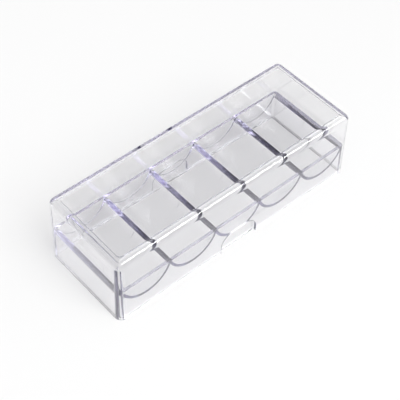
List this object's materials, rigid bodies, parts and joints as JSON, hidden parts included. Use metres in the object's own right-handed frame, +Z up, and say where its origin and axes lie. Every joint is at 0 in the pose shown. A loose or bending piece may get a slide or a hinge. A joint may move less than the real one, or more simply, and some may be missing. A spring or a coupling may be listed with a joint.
{
  "type": "chip rack",
  "caption": "Clear plastic rack that holds gaming chips on edge in half-round troughs, under a deep lift-off cover with a thumb notch in each long side.",
  "frame": {"origin": "on the surface that the rack stands on, under the middle of the rack", "axes": "+X along the rack, +Y along a row of chips, towards the rear long side, +Z up"},
  "size_m": [0.2094, 0.0762, 0.0572],
  "materials": {
    "tray_plastic": "clear moulded plastic with a faint lavender tint in its thick edges, polished",
    "cover_plastic": "clear moulded plastic, polished"
  },
  "bodies": {
    "tray": {"chip_tray": "tray_plastic"},
    "cover": {"cover": "cover_plastic"}
  },
  "joints": [
    {"name": "cover_lift", "type": "slide", "parent": "tray", "child": "cover", "axis": [0, 0, 1], "range_m": [0, 0.06]}
  ]
}
